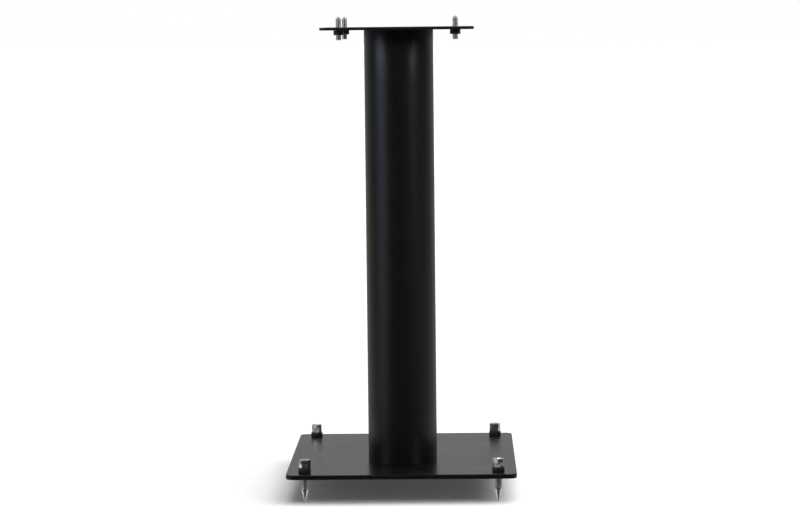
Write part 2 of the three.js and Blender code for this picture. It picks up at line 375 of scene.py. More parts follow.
class Effects:
    """The shader node groups, each built once. A pair of numbers is the band that a smooth step spans."""

    PEBBLES: Band = (0.36, 0.66)
    WAVE_IN_HEIGHT = 0.25
    WAVE_IN_VALUE = 0.5
    FACING_UP: Band = (0.55, 0.98)
    DUST_PATCHES: Band = (0.35, 0.75)
    DUST_SPECKS: Band = (0.6, 0.8)
    PATCH_SHARE = 0.7
    SPECK_SHARE = 0.6
    SPECK_SCALE = 900.0
    RIM_BREAKS: Band = (0.45, 0.72)
    RIM_BREAK_SCALE = 220.0
    LATHE_DRIFT_SCALE = 180.0
    DRIFT_IN_VALUE = 0.35
    SMUDGES: Band = (0.5, 0.8)
    HAIRLINES: Band = (0.68, 0.74)
    HAIRLINE_STRETCH = 0.05
    HAIRLINE_SLANT = 0.3

    def __init__(self) -> None:
        """Build every group."""
        self.coat_texture = self._coat_texture()
        self.settled_dust = self._settled_dust()
        self.rubbed_rim = self._rubbed_rim()
        self.lathe_marks = self._lathe_marks()
        self.handling = self._handling()

    def _coat_texture(self) -> bpy.types.NodeTree:
        """The fine pebbling that baked powder leaves, with a slow waviness under it.

        Returns:
            The group.
        """
        tree, w, given, result = new_group(
            "coat_texture",
            TreeKind.SHADER,
            [COORDINATES, Port("Grain Scale", 1500.0), Port("Wave Scale", 60.0)],
            [Port("Height"), Port("Value")],
        )
        grain = w.noise(given["Vector"], given["Grain Scale"], detail=2.0, rough=0.55)
        wave = w.noise(given["Vector"], given["Wave Scale"], detail=1.0)
        pebbles = w.span(grain, *self.PEBBLES)
        w.feed(result["Height"], w.blend(self.WAVE_IN_HEIGHT, pebbles, wave))
        w.feed(result["Value"], w.blend(self.WAVE_IN_VALUE, pebbles, wave))
        return tree

    def _settled_dust(self) -> bpy.types.NodeTree:
        """Thin dust on what faces up, in soft patches.

        Returns:
            The group.
        """
        tree, w, given, result = new_group(
            "settled_dust",
            TreeKind.SHADER,
            [COORDINATES, Port("Amount", 0.1), Port("Patch Scale", 14.0)],
            [Port("Mask")],
        )
        geometry = w.node("ShaderNodeNewGeometry")
        up = w.span(w.split(geometry.outputs["Normal"])[2], *self.FACING_UP)
        cloudy = w.noise(given["Vector"], given["Patch Scale"], detail=4.0, rough=0.6)
        speckled = w.noise(given["Vector"], self.SPECK_SCALE, detail=1.0)
        patches = w.math("MULTIPLY", w.span(cloudy, *self.DUST_PATCHES), self.PATCH_SHARE)
        specks = w.math("MULTIPLY", w.span(speckled, *self.DUST_SPECKS), self.SPECK_SHARE)
        spread = w.math("ADD", patches, specks)
        lying = w.math("MULTIPLY", up, spread)
        w.feed(result["Mask"], w.math("MULTIPLY", lying, given["Amount"], clamp=True))
        return tree

    def _rubbed_rim(self) -> bpy.types.NodeTree:
        """A mask that rises where an upright box's rim is near, broken up by noise.

        Returns:
            The group.
        """
        tree, w, given, result = new_group(
            "rubbed_rim",
            TreeKind.SHADER,
            [COORDINATES, Port("Half Width", 0.1), Port("Half Depth", 0.1), Port("Reach", 2 * MM)],
            [Port("Mask")],
        )
        x, y, _ = w.split(given["Vector"])
        side = w.math("SUBTRACT", given["Half Width"], w.math("ABSOLUTE", x))
        end = w.math("SUBTRACT", given["Half Depth"], w.math("ABSOLUTE", y))
        near = w.math("SUBTRACT", 1.0, w.span(w.math("MINIMUM", side, end), 0.0, given["Reach"]))
        uneven = w.noise(given["Vector"], self.RIM_BREAK_SCALE, detail=3.0, rough=0.65)
        w.feed(result["Mask"], w.math("MULTIPLY", near, w.span(uneven, *self.RIM_BREAKS)))
        return tree

    def _lathe_marks(self) -> bpy.types.NodeTree:
        """Rings left by turning: across the radius on a face, along the height on a bar.

        Returns:
            The group.
        """
        tree, w, given, result = new_group(
            "lathe_marks",
            TreeKind.SHADER,
            [COORDINATES, Port("Ring Scale", 3000.0), Port("Height Share", 1.0)],
            [Port("Height"), Port("Value")],
        )
        x, y, z = w.split(given["Vector"])
        radius = w.math("SQRT", w.math("ADD", w.math("MULTIPLY", x, x), w.math("MULTIPLY", y, y)))
        along = w.math("ADD", radius, w.math("MULTIPLY", z, given["Height Share"]))
        rings = w.noise(w.join(along, 0.0, 0.0), given["Ring Scale"], detail=3.0, rough=0.7)
        drift = w.noise(given["Vector"], self.LATHE_DRIFT_SCALE, detail=2.0)
        w.feed(result["Height"], rings)
        w.feed(result["Value"], w.blend(self.DRIFT_IN_VALUE, rings, drift))
        return tree

    def _handling(self) -> bpy.types.NodeTree:
        """Faint smudges and hairlines from handling.

        Returns:
            The group.
        """
        tree, w, given, result = new_group(
            "handling",
            TreeKind.SHADER,
            [COORDINATES, Port("Smudge Scale", 25.0), Port("Line Scale", 400.0)],
            [Port("Smudges"), Port("Lines")],
        )
        cloudy = w.noise(given["Vector"], given["Smudge Scale"], detail=5.0, rough=0.6)
        x, y, z = w.split(given["Vector"])
        slanted = w.math("ADD", y, w.math("MULTIPLY", x, self.HAIRLINE_SLANT))
        stretched = w.join(w.math("MULTIPLY", x, self.HAIRLINE_STRETCH), slanted, z)
        streaky = w.noise(stretched, given["Line Scale"], detail=2.0)
        w.feed(result["Smudges"], w.span(cloudy, *self.SMUDGES))
        w.feed(result["Lines"], w.span(streaky, *self.HAIRLINES))
        return tree


# ---------------------------------------------------------------------------------------------------------
# Finishes
# ---------------------------------------------------------------------------------------------------------


@dataclass(frozen=True)
class Finish:
    """What every finish has: a name, the group library and the centre of its pattern."""

    name: str
    effects: Effects
    centre: Vector = field(default_factory=Vector)

    def start(self) -> tuple[bpy.types.Material, Wiring, bpy.types.Node, bpy.types.NodeSocket]:
        """Start a node material.

        Returns:
            The material, its wiring, its Principled shader, and object coordinates about the centre.
        """
        material = bpy.data.materials.new(self.name)
        material.use_nodes = True
        w = Wiring(material.node_tree)
        shader = material.node_tree.nodes["Principled BSDF"]
        coords = w.node("ShaderNodeTexCoord")
        mapping = w.node("ShaderNodeMapping")
        mapping.inputs["Location"].default_value = -self.centre
        w.feed(mapping.inputs["Vector"], coords.outputs["Object"])
        return material, w, shader, mapping.outputs[0]

    @staticmethod
    def group(
        w: Wiring, tree: bpy.types.NodeTree, vector: bpy.types.NodeSocket, **values: float
    ) -> bpy.types.Node:
        """Place a shared effect.

        Args:
            w: The material's wiring.
            tree: The effect's group.
            vector: The coordinates that it reads.
            values: The effect's other inputs, with underscores for spaces.

        Returns:
            The group's node.
        """
        made = w.node("ShaderNodeGroup", node_tree=tree)
        w.feed(made.inputs["Vector"], vector)
        for name, value in values.items():
            made.inputs[name.replace("_", " ").title()].default_value = value
        return made

    @staticmethod
    def bump(
        w: Wiring, shader: bpy.types.Node, height: object, distance: float, strength: float
    ) -> None:
        """Let a height raise the surface.

        Args:
            w: The material's wiring.
            shader: The Principled shader.
            height: The height's socket.
            distance: The rise of a height of 1, in metres.
            strength: The share of the bump that is used.
        """
        made = w.node("ShaderNodeBump")
        made.inputs["Distance"].default_value = distance
        made.inputs["Strength"].default_value = strength
        w.feed(made.inputs["Height"], height)
        w.feed(shader.inputs["Normal"], made.outputs[0])


@dataclass(frozen=True)
class PowderCoat(Finish):
    """Satin black powder coat on steel."""

    colour: Colour = (0.0018, 0.0018, 0.0021)
    dust_colour: Colour = (0.11, 0.105, 0.10)
    rub_colour: Colour = (0.022, 0.022, 0.023)
    roughness: float = 0.36
    dust: float = 0.1
    rub: float = 0.2
    half_width: float = 1.0
    half_depth: float = 1.0
    grain_height: float = 0.01 * MM
    grain_strength: float = 0.6
    grain_matting: float = 0.09
    smudge_matting: float = -0.03
    dust_matting: float = 0.5

    def material(self) -> bpy.types.Material:
        """Build the material.

        Returns:
            The material.
        """
        material, w, shader, vector = self.start()
        effects = self.effects
        texture = self.group(w, effects.coat_texture, vector)
        dust = self.group(w, effects.settled_dust, vector, amount=self.dust)
        sides = {"half_width": self.half_width, "half_depth": self.half_depth}
        rim = self.group(w, effects.rubbed_rim, vector, **sides)
        handling = self.group(w, effects.handling, vector)
        worn = w.math("MULTIPLY", rim.outputs["Mask"], self.rub)
        coat = w.tint(worn, self.colour, self.rub_colour)
        w.feed(shader.inputs["Base Color"], w.tint(dust.outputs["Mask"], coat, self.dust_colour))
        smoothest = self.roughness - self.grain_matting / 2
        grainy = w.math("MULTIPLY_ADD", texture.outputs["Value"], self.grain_matting, smoothest)
        smudged = w.math("MULTIPLY_ADD", handling.outputs["Smudges"], self.smudge_matting, grainy)
        dusty = w.math("MULTIPLY_ADD", dust.outputs["Mask"], self.dust_matting, smudged)
        w.feed(shader.inputs["Roughness"], dusty)
        self.bump(w, shader, texture.outputs["Height"], self.grain_height, self.grain_strength)
        return material


@dataclass(frozen=True)
class Machined(Finish):
    """Turned or pressed steel, with rings from the lathe and smudges from handling."""

    colour: Colour = (0.5, 0.5, 0.5)
    worn_colour: Colour = (0.3, 0.3, 0.3)
    wear: float = 0.5
    metallic: float = 1.0
    ring_scale: float = 2000.0
    ring_height: float = 0.01 * MM
    ring_strength: float = 0.6
    ring_matting: float = 0.2
    smoothest: float = 0.2
    smudge_scale: float = 100.0
    smudge_matting: float = 0.0
    line_scale: float = 400.0
    line_matting: float = 0.0

    def material(self) -> bpy.types.Material:
        """Build the material.

        Returns:
            The material.
        """
        material, w, shader, vector = self.start()
        marks = self.group(w, self.effects.lathe_marks, vector, ring_scale=self.ring_scale)
        scales = {"smudge_scale": self.smudge_scale, "line_scale": self.line_scale}
        handling = self.group(w, self.effects.handling, vector, **scales)
        worn = w.math("MULTIPLY", handling.outputs["Smudges"], self.wear)
        w.feed(shader.inputs["Base Color"], w.tint(worn, self.colour, self.worn_colour))
        ringed = w.math("MULTIPLY_ADD", marks.outputs["Value"], self.ring_matting, self.smoothest)
        smudged = w.math("MULTIPLY_ADD", handling.outputs["Smudges"], self.smudge_matting, ringed)
        scratched = w.math("MULTIPLY_ADD", handling.outputs["Lines"], self.line_matting, smudged)
        w.feed(shader.inputs["Roughness"], scratched)
        shader.inputs["Metallic"].default_value = self.metallic
        self.bump(w, shader, marks.outputs["Height"], self.ring_height, self.ring_strength)
        return material


@dataclass(frozen=True)
class Plating(Machined):
    """Bright nickel plating on turned and pressed steel."""

    colour: Colour = (0.80, 0.78, 0.745)
    worn_colour: Colour = (0.50, 0.485, 0.46)
    wear: float = 0.45
    ring_scale: float = 4200.0
    ring_height: float = 0.004 * MM
    ring_strength: float = 0.5
    ring_matting: float = 0.10
    smoothest: float = 0.12
    smudge_scale: float = 140.0
    smudge_matting: float = 0.10
    line_scale: float = 1500.0
    line_matting: float = 0.08


@dataclass(frozen=True)
class TurnedSteel(Machined):
    """Bare turned steel, greyed with storage."""

    colour: Colour = (0.40, 0.40, 0.41)
    worn_colour: Colour = (0.17, 0.13, 0.10)
    wear: float = 0.5
    ring_scale: float = 1800.0
    ring_height: float = 0.02 * MM
    ring_strength: float = 0.8
    ring_matting: float = 0.25
    smoothest: float = 0.30
    smudge_scale: float = 45.0


@dataclass(frozen=True)
class BlackOxide(Machined):
    """Oiled black oxide on alloy steel screws and nuts."""

    colour: Colour = (0.018, 0.018, 0.021)
    worn_colour: Colour = (0.16, 0.16, 0.165)
    wear: float = 0.35
    metallic: float = 0.7
    ring_scale: float = 2600.0
    smoothest: float = 0.24
    smudge_scale: float = 260.0
    line_scale: float = 900.0


# ---------------------------------------------------------------------------------------------------------
# Shapes
# ---------------------------------------------------------------------------------------------------------


def new_object(name: str, mesh: bpy.types.Mesh) -> bpy.types.Object:
    """Put a mesh into the scene as an object at the origin.

    Args:
        name: The object's name.
        mesh: The mesh.

    Returns:
        The object.
    """
    made = bpy.data.objects.new(name, mesh)
    bpy.context.scene.collection.objects.link(made)
    return made


def smooth_by_angle(mesh: bpy.types.Mesh, degrees: float = 28.0) -> None:
    """Shade a mesh smooth, apart from edges that turn by more than an angle.

    Args:
        mesh: The mesh.
        degrees: The angle.
    """
    shape = bmesh.new()
    shape.from_mesh(mesh)
    limit = math.radians(degrees)
    for face in shape.faces:
        face.smooth = True
    for edge in shape.edges:
        edge.smooth = len(edge.link_faces) == 2 and edge.calc_face_angle(0.0) < limit
    shape.to_mesh(mesh)
    shape.free()


def finished(made: bpy.types.Object) -> bpy.types.Object:
    """Apply an object's modifiers to its mesh, so that it is plain.

    Args:
        made: The object.

    Returns:
        The same object.
    """
    depsgraph = bpy.context.evaluated_depsgraph_get()
    depsgraph.update()
    mesh = bpy.data.meshes.new_from_object(made.evaluated_get(depsgraph))
    made.modifiers.clear()
    made.data = mesh
    return made


def rounded(
    made: bpy.types.Object, width: float, segments: int = 3, degrees: float = 30.0
) -> bpy.types.Object:
    """Round an object's edges and shade it.

    Args:
        made: The object.
        width: How far the rounding reaches, in metres.
        segments: The number of faces across it.
        degrees: The least angle of an edge that is rounded.

    Returns:
        The same object, with its mesh finished.
    """
    bevel = made.modifiers.new("rounding", "BEVEL")
    bevel.width = width
    bevel.segments = segments
    bevel.limit_method = "ANGLE"
    bevel.angle_limit = math.radians(degrees)
    bevel.use_clamp_overlap = True
    finished(made)
    smooth_by_angle(made.data)
    return made


def turned_mesh(name: str, profile: Profile, segments: int) -> bpy.types.Mesh:
    """Turn a closed profile about the Z axis.

    Args:
        name: The mesh's name.
        profile: Points of radius and level, anticlockwise, which may touch the axis.
        segments: The number of faces round the axis.

    Returns:
        The closed mesh.
    """
    shape = bmesh.new()
    rings = []
    for radius, level in profile:
        if radius == 0.0:
            rings.append([shape.verts.new((0.0, 0.0, level))])
            continue
        angles = (2 * math.pi * i / segments for i in range(segments))
        rings.append([shape.verts.new((radius * math.cos(a), radius * math.sin(a), level)) for a in angles])
    for lower, upper in zip(rings, rings[1:] + rings[:1]):
        for i in range(segments):
            j = (i + 1) % segments
            below = (lower[i % len(lower)], lower[j % len(lower)])
            above = (upper[j % len(upper)], upper[i % len(upper)])
            corners = list(dict.fromkeys(below + above))
            if len(corners) > 2:
                shape.faces.new(corners)
    bmesh.ops.recalc_face_normals(shape, faces=shape.faces)
    mesh = bpy.data.meshes.new(name)
    shape.to_mesh(mesh)
    shape.free()
    return mesh


def arc(centre: tuple[float, float], radius: float, start: float, end: float, steps: int) -> Profile:
    """Points along an arc.

    Args:
        centre: The arc's centre.
        radius: Its radius.
        start: The angle that it starts at, in degrees.
        end: The angle that it ends at.
        steps: The number of its chords.

    Returns:
        The points.
    """
    angles = (math.radians(start + (end - start) * i / steps) for i in range(steps + 1))
    return [(centre[0] + radius * math.cos(a), centre[1] + radius * math.sin(a)) for a in angles]


def combined(made: bpy.types.Object, other: bpy.types.Object, joining: Joining) -> bpy.types.Object:
    """Combine an object with another by an exact boolean, and remove the other.

    Args:
        made: The object that is kept.
        other: The object that is used up.
        joining: How they are combined.

    Returns:
        The object that is kept.
    """
    modifier = made.modifiers.new("combine", "BOOLEAN")
    modifier.operation = joining.value
    modifier.solver = "EXACT"
    modifier.object = other
    finished(made)
    bpy.data.objects.remove(other)
    return made


def cut(made: bpy.types.Object, cutters: Iterable[bpy.types.Object]) -> bpy.types.Object:
    """Cut other shapes out of an object, and remove them.

    Args:
        made: The object.
        cutters: The shapes.

    Returns:
        The same object.
    """
    for cutter in cutters:
        combined(made, cutter, Joining.DIFFERENCE)
    return made


class BarTree:
    """A Geometry Nodes tree for a round bar with a screw thread, tapered at both ends.

    The surface is a grid whose rows lean by one pitch in a turn, so that each row keeps to one line of the
    thread. Rows past an end fold into a flat cap.
    """

    GROOVE_FLAT = 0.25
    FLANK = 0.625
    SPARE_ROWS = 3.0
    NEARLY_A_ROW = 0.999
    MERGE_DISTANCE = 0.0005 * MM

    def __init__(self) -> None:
        """Build the tree."""
        sizes = ("Radius", "Pitch", "Groove Depth", "Bottom", "Top", "Thread Bottom", "Thread Top")
        ends = ("Bottom Rim", "Bottom Taper", "Top Rim", "Top Taper", "Head Radius", "Head Level")
        counts = ("Sides", "Rows In Turn")
        ports = [Port(name) for name in sizes + ends] + [Port(name, kind=Kind.WHOLE) for name in counts]
        self.tree, w, given, result = new_group(
            "threaded_bar", TreeKind.GEOMETRY, [*ports, COAT], [Port("Bar", kind=Kind.SHAPE)]
        )
        step = w.math("DIVIDE", given["Pitch"], given["Rows In Turn"])
        height = w.math("SUBTRACT", given["Top"], given["Bottom"])
        spare = w.math("MULTIPLY_ADD", step, self.SPARE_ROWS, given["Pitch"])
        low = w.math("SUBTRACT", given["Bottom"], spare)
        spare_rows = w.math("MULTIPLY", step, 2 * self.SPARE_ROWS)
        both_ends = w.math("MULTIPLY_ADD", given["Pitch"], 2.0, spare_rows)
        span = w.math("ADD", height, both_ends)
        rows = w.math("CEIL", w.math("DIVIDE", span, step))
        grid = w.node("GeometryNodeMeshGrid")
        w.feed(grid.inputs["Size X"], 1.0)
        w.feed(grid.inputs["Size Y"], 1.0)
        w.feed(grid.inputs["Vertices X"], w.math("ADD", given["Sides"], 1.0))
        w.feed(grid.inputs["Vertices Y"], w.math("ADD", rows, 1.0))
        across, along, _ = w.split(w.node("GeometryNodeInputPosition").outputs[0])
        around = w.math("ADD", across, 0.5)
        row = w.math("ROUND", w.math("MULTIPLY", w.math("ADD", along, 0.5), rows))
        lean = w.math("MULTIPLY", around, given["Pitch"])
        raw = w.math("ADD", w.math("MULTIPLY_ADD", row, step, low), lean)
        radius = self._radius(w, given, row, raw)
        below = w.math("SUBTRACT", given["Bottom"], raw)
        above = w.math("SUBTRACT", raw, given["Top"])
        past = w.math("MAXIMUM", below, above)
        folded = w.math("GREATER_THAN", past, w.math("MULTIPLY", step, self.NEARLY_A_ROW))
        reach = w.math("MULTIPLY", radius, w.math("SUBTRACT", 1.0, folded))
        level = w.math("MINIMUM", w.math("MAXIMUM", raw, given["Bottom"]), given["Top"])
        angle = w.math("MULTIPLY", around, 2 * math.pi)
        placed = w.node("GeometryNodeSetPosition")
        w.feed(placed.inputs["Geometry"], grid.outputs["Mesh"])
        x = w.math("MULTIPLY", reach, w.math("COSINE", angle))
        y = w.math("MULTIPLY", reach, w.math("SINE", angle))
        w.feed(placed.inputs["Position"], w.join(x, y, level))
        merged = w.node("GeometryNodeMergeByDistance")
        w.feed(merged.inputs["Geometry"], placed.outputs[0])
        w.feed(merged.inputs["Distance"], self.MERGE_DISTANCE)
        close_tree(w, merged.outputs[0], given["Material"], result["Bar"])

    def _radius(self, w: Wiring, given: object, row: object, raw: object) -> bpy.types.NodeSocket:
        """The bar's radius at a row of the thread and a level.

        Args:
            w: The tree's wiring.
            given: The tree's inputs.
            row: The number of the row, which says where it lies in the thread's profile.
            raw: The level.

        Returns:
            The radius's socket.
        """
        row_in_turn = w.math("FLOORED_MODULO", row, given["Rows In Turn"])
        phase = w.math("DIVIDE", row_in_turn, given["Rows In Turn"])
        wave = w.math("ABSOLUTE", w.math("MULTIPLY_ADD", phase, 2.0, -1.0))
        crest = w.math("DIVIDE", w.math("SUBTRACT", wave, self.GROOVE_FLAT), self.FLANK, clamp=True)
        thread_bottom, thread_top, pitch = given["Thread Bottom"], given["Thread Top"], given["Pitch"]
        start = w.span(raw, thread_bottom, w.math("ADD", thread_bottom, pitch))
        end = w.span(raw, w.math("SUBTRACT", thread_top, pitch), thread_top)
        cut_in = w.math("MULTIPLY", start, w.math("SUBTRACT", 1.0, end))
        depth = w.math("MULTIPLY", cut_in, given["Groove Depth"])
        groove = w.math("MULTIPLY", w.math("SUBTRACT", 1.0, crest), depth)
        threaded = w.math("SUBTRACT", given["Radius"], groove)
        cone = w.math("ADD", given["Head Radius"], w.math("SUBTRACT", raw, given["Head Level"]))
        radius = w.math("MAXIMUM", threaded, w.math("MINIMUM", cone, given["Head Radius"]))
        widest = w.math("MAXIMUM", given["Radius"], given["Head Radius"])
        ends = (
            ("Bottom", w.math("SUBTRACT", raw, given["Bottom"])),
            ("Top", w.math("SUBTRACT", given["Top"], raw)),
        )
        for name, inwards in ends:
            rim = given[f"{name} Rim"]
            slope = w.math("DIVIDE", w.math("SUBTRACT", widest, rim), given[f"{name} Taper"])
            taper = w.math("MULTIPLY_ADD", w.math("MAXIMUM", inwards, 0.0), slope, rim)
            radius = w.math("MINIMUM", radius, taper)
        return radius


def close_tree(w: Wiring, shape: object, material: object, result: bpy.types.NodeSocket) -> None:
    """End a Geometry Nodes tree: realize its instances and give it its material.

    Args:
        w: The tree's wiring.
        shape: The geometry's socket.
        material: The material's socket.
        result: The group output that takes the geometry.
    """
    real = w.node("GeometryNodeRealizeInstances")
    w.feed(real.inputs[0], shape)
    dressed = w.node("GeometryNodeSetMaterial")
    w.feed(dressed.inputs["Geometry"], real.outputs[0])
    w.feed(dressed.inputs["Material"], material)
    w.feed(result, dressed.outputs[0])


class HexTree:
    """A Geometry Nodes tree for a hexagon with turned-off corners, a bore through it and a key socket."""

    CHAMFER = math.tan(math.radians(30))
    OVERRUN = 1 * MM
    TURNED_SIDES = 96
    BORE_SIDES = 48

    def __init__(self) -> None:
        """Build the tree."""
        body_sizes = ("Across Flats", "Bottom", "Top", "Turn")
        cut_sizes = ("Bore Radius", "Bore Break", "Key Flats", "Key Depth")
        ports = [Port(name) for name in body_sizes + cut_sizes]
        ports += [Port("Chamfer Bottom", kind=Kind.SWITCH), COAT]
        self.tree, w, given, result = new_group(
            "hexagon", TreeKind.GEOMETRY, ports, [Port("Hexagon", kind=Kind.SHAPE)]
        )
        self.w, self.given = w, given
        height = w.math("SUBTRACT", given["Top"], given["Bottom"])
        flat = w.math("MULTIPLY", given["Across Flats"], 0.5)
        corner = w.math("DIVIDE", given["Across Flats"], math.sqrt(3))
        body = self._bar(6, corner, corner, given["Bottom"], height, given["Turn"])
        wide = w.math("ADD", flat, w.math("DIVIDE", height, self.CHAMFER))
        upper = self._bar(self.TURNED_SIDES, flat, wide, given["Bottom"], height)
        body = self._cut(Joining.INTERSECT, body, upper)
        lower = self._bar(self.TURNED_SIDES, wide, flat, given["Bottom"], height)
        both = w.node("GeometryNodeSwitch", input_type="GEOMETRY")
        w.feed(both.inputs[0], given["Chamfer Bottom"])
        w.feed(both.inputs[1], body)
        w.feed(both.inputs[2], self._cut(Joining.INTERSECT, body, lower))
        body = self._bored(both.outputs[0], height)
        body = self._keyed(body)
        close_tree(w, body, given["Material"], result["Hexagon"])

    def _bar(
        self, sides: int, top: object, foot: object, low: object, height: object, turn: object = 0.0
    ) -> bpy.types.NodeSocket:
        """An upright bar or cone, closed at both ends.

        Args:
            sides: The number of its sides.
            top: Its radius at the top.
            foot: Its radius at the bottom.
            low: Its lowest level.
            height: Its height.
            turn: Its turn about its axis, in radians.

        Returns:
            The geometry's socket.
        """
        w = self.w
        cone = w.node("GeometryNodeMeshCone", fill_type="NGON")
        w.feed(cone.inputs["Vertices"], sides)
        w.feed(cone.inputs["Radius Top"], top)
        w.feed(cone.inputs["Radius Bottom"], foot)
        w.feed(cone.inputs["Depth"], height)
        moved = w.node("GeometryNodeTransform")
        w.feed(moved.inputs["Geometry"], cone.outputs["Mesh"])
        w.feed(moved.inputs["Translation"], w.join(0.0, 0.0, low))
        w.feed(moved.inputs["Rotation"], w.join(0.0, 0.0, turn))
        return moved.outputs[0]

    def _cut(self, joining: Joining, first: object, second: object) -> bpy.types.NodeSocket:
        """Join or cut two shapes with a Mesh Boolean node.

        Args:
            joining: How they are combined.
            first: The shape that is kept or cut.
            second: The other shape.

        Returns:
            The geometry's socket.
        """
        made = self.w.node("GeometryNodeMeshBoolean", operation=joining.value, solver="EXACT")
        self.w.feed(made.inputs["Mesh 1" if joining is Joining.DIFFERENCE else "Mesh 2"], first)
        self.w.feed(made.inputs["Mesh 2"], second)
        return made.outputs["Mesh"]

    def _chosen(self, size: object, with_cut: object, without: object) -> bpy.types.NodeSocket:
        """Keep a cut only where its size is above nothing.

        Args:
            size: The cut's size.
            with_cut: The shape with the cut.
            without: The shape without it.

        Returns:
            The geometry's socket.
        """
        made = self.w.node("GeometryNodeSwitch", input_type="GEOMETRY")
        self.w.feed(made.inputs[0], self.w.math("GREATER_THAN", size, 0.0))
        self.w.feed(made.inputs[1], without)
        self.w.feed(made.inputs[2], with_cut)
        return made.outputs[0]

    def _bored(self, body: object, height: object) -> bpy.types.NodeSocket:
        """Bore the hexagon through, with broken edges at both mouths.

        Args:
            body: The hexagon.
            height: Its height.

        Returns:
            The geometry's socket.
        """
        w, given = self.w, self.given
        radius, mouth = given["Bore Radius"], given["Bore Break"]
        wide = w.math("ADD", radius, mouth)
        tall = w.math("ADD", height, 2 * self.OVERRUN)
        low = w.math("SUBTRACT", given["Bottom"], self.OVERRUN)
        mouth_top = w.math("SUBTRACT", given["Top"], mouth)
        bored = body
        for cutter in (
            (radius, radius, low, tall),
            (wide, radius, mouth_top, mouth),
            (radius, wide, given["Bottom"], mouth),
        ):
            bored = self._cut(Joining.DIFFERENCE, bored, self._bar(self.BORE_SIDES, *cutter))
        return self._chosen(radius, bored, body)

    def _keyed(self, body: object) -> bpy.types.NodeSocket:
        """Sink a hexagon socket into the top.

        Args:
            body: The hexagon.

        Returns:
            The geometry's socket.
        """
        w, given = self.w, self.given
        corner = w.math("DIVIDE", given["Key Flats"], math.sqrt(3))
        low = w.math("SUBTRACT", given["Top"], given["Key Depth"])
        tall = w.math("ADD", given["Key Depth"], self.OVERRUN)
        key = self._bar(6, corner, corner, low, tall, given["Turn"])
        return self._chosen(given["Key Flats"], self._cut(Joining.DIFFERENCE, body, key), body)


def worked(made: bpy.types.Object, tree: bpy.types.NodeTree, values: dict[str, object]) -> bpy.types.Object:
    """Run an object through a Geometry Nodes tree and keep the result as its mesh.

    Args:
        made: The object, whose mesh is the tree's first geometry.
        tree: The tree.
        values: The tree's inputs by name.

    Returns:
        The same object.
    """
    modifier = made.modifiers.new("shape", "NODES")
    modifier.node_group = tree
    for socket in tree.interface.items_tree:
        if socket.item_type == "SOCKET" and socket.in_out == "INPUT" and socket.name in values:
            modifier[socket.identifier] = values[socket.name]
    return finished(made)


def grown(name: str, tree: bpy.types.NodeTree, values: dict[str, object]) -> bpy.types.Object:
    """Make a plain object from a Geometry Nodes tree alone."""
    return worked(new_object(name, bpy.data.meshes.new(name)), tree, values)


def hex_prism(flats: float, low: float, high: float, turn: float = 0.0) -> bpy.types.Object:
    """An upright hexagon bar between two levels, as a key cuts its socket.

    Args:
        flats: Its width across flats.
        low: Its lowest level.
        high: Its highest level.
        turn: Its turn about its axis, in radians.

    Returns:
        The bar.
    """
    corner = flats / math.sqrt(3)
    mesh = turned_mesh("key", [(0.0, low), (corner, low), (corner, high), (0.0, high)], 6)
    mesh.transform(Matrix.Rotation(turn, 4, "Z"))
    return new_object("key", mesh)


def dress(made: bpy.types.Object, material: bpy.types.Material) -> None:
    """Shade an object by angle and give all of it one material.

    Args:
        made: The object.
        material: The material.
    """
    smooth_by_angle(made.data)
    made.data.materials.clear()
    made.data.materials.append(material)
    for face in made.data.polygons:
        face.material_index = 0


# ---------------------------------------------------------------------------------------------------------
# Sub-assemblies
# ---------------------------------------------------------------------------------------------------------


@dataclass
class Workshop:
    """What every sub-assembly is made with: the shared effects and the shape trees."""

    effects: Effects = field(default_factory=Effects)
    bar: BarTree = field(default_factory=BarTree)
    hexagon: HexTree = field(default_factory=HexTree)

    def settle(self, made: bpy.types.Object, body: str, slot: Slot, *nodes: str) -> bpy.types.Object:
        """Hang a finished piece on the frame.

        Args:
            made: The piece.
            body: The body that it rides on.
            slot: Not used.
            nodes: The CAD nodes that it stands for.

        Returns:
            The piece.
        """
        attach(made, body)
        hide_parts(*nodes)
        LOG.info("%s: %d faces on %s, for %s", made.name, len(made.data.polygons), body, ", ".join(nodes))
        return made


@dataclass(frozen=True)
class Hole:
    """A round hole down through a plate, with a cone or a broken edge at its two mouths."""

    centre: Vector
    radius: float
    top_break: float
    bottom_break: float
    top_rim: float = 0.0
    bottom_rim: float = 0.0
    overrun: float = 1 * MM
    sides: int = 64

    def cutter(self, bottom: float, top: float) -> bpy.types.Object:
        """The shape that cuts the hole between two levels.

        Args:
            bottom: The plate's lower face.
            top: The plate's upper face.

        Returns:
            The shape.
        """
        over = self.overrun
        wide_top, wide_bottom = self.radius + self.top_break, self.radius + self.bottom_break
        profile = [
            (0.0, bottom - over),
            (wide_bottom, bottom - over),
            (wide_bottom, bottom + self.bottom_rim),
            (self.radius, bottom + self.bottom_rim + self.bottom_break),
            (self.radius, top - self.top_rim - self.top_break),
            (wide_top, top - self.top_rim),
            (wide_top, top + over),
            (0.0, top + over),
        ]
        mesh = turned_mesh("hole", list(dict.fromkeys(profile)), self.sides)
        mesh.transform(Matrix.Translation((self.centre.x, self.centre.y, 0.0)))
        return new_object("hole", mesh)


